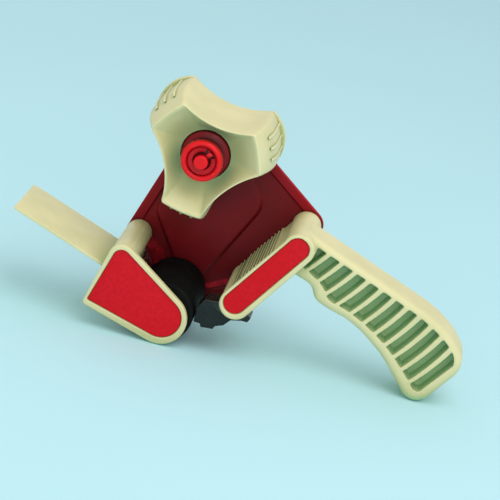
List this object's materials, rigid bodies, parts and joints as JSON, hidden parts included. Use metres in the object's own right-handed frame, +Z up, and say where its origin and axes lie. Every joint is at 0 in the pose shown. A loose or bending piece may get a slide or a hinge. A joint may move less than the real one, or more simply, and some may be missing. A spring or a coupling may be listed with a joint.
{
  "type": "tape dispenser",
  "caption": "Hand-held packing tape dispenser with a three-lobed core hub, tension knob, rubber roller, hinged wiper flap, toothed cutter and ribbed handle on a steel side plate",
  "frame": {"origin": "on the surface that the dispenser stands on, under the middle of its bounding box", "axes": "+X from the flap towards the handle, +Y from the open side towards the side plate, +Z up"},
  "size_m": [0.2524, 0.059, 0.1373],
  "materials": {
    "cream_plastic": "semi-matt moulded cream ABS",
    "red_paint": "dark red enamel on pressed steel",
    "red_plastic": "bright red glossy moulding",
    "red_label": "plain red inlay, lightly textured",
    "roller_rubber": "black rubber",
    "black_plastic": "black moulded plastic",
    "steel": "bright zinc plate",
    "blade_steel": "ground spring steel",
    "brass": "turned brass",
    "fibre": "vulcanised fibre"
  },
  "bodies": {
    "frame": {"side_plate": "red_paint", "nose_housing": "cream_plastic", "nose_label": "red_label", "handle": "cream_plastic", "guide_label": "red_label", "tape_retainer": "black_plastic", "cutter_blade": "blade_steel", "blade_clamp": "blade_steel", "blade_screw_1": "steel", "blade_screw_2": "steel", "nose_screw": "steel", "handle_screw_1": "steel", "handle_screw_2": "steel", "hub_axle": "steel", "axle_nut": "steel", "axle_spacer": "steel", "brake_washer": "fibre", "spring_seat": "steel", "roller_axle": "steel", "roller_washer": "steel"},
    "hub": {"core_hub": "cream_plastic"},
    "collar": {"tension_collar": "red_plastic", "brake_spring": "steel"},
    "knob": {"tension_knob": "red_plastic", "knob_insert": "brass", "knob_plug": "red_plastic"},
    "roller": {"roller_tyre": "roller_rubber", "roller_core": "black_plastic"},
    "flap": {"wiper_flap": "cream_plastic"}
  },
  "joints": [
    {"name": "hub_spin", "type": "hinge", "parent": "frame", "child": "hub", "pos_m": [-0.03305, 0, 0.1053], "axis": [0, 1, 0], "continuous": true},
    {"name": "knob_travel", "type": "slide", "parent": "frame", "child": "collar", "axis": [0, 1, 0], "range_m": [-0.00125, 0.0025], "deforming": ["brake_spring"]},
    {"name": "knob_turn", "type": "hinge", "parent": "collar", "child": "knob", "pos_m": [-0.03305, -0.02, 0.1053], "axis": [0, 1, 0], "range_deg": [-360, 720]},
    {"name": "roller_spin", "type": "hinge", "parent": "frame", "child": "roller", "pos_m": [-0.03645, 0, 0.017], "axis": [0, 1, 0], "continuous": true},
    {"name": "flap_flex", "type": "hinge", "parent": "frame", "child": "flap", "pos_m": [-0.06483, 0, 0.03173], "axis": [0, 1, 0], "range_deg": [-8, 8], "stiffness_Nm_per_rad": 0.3}
  ],
  "couplings": [
    {"joint": "knob_turn", "follows": "knob_travel", "rad_per_m": 5026.5}
  ]
}
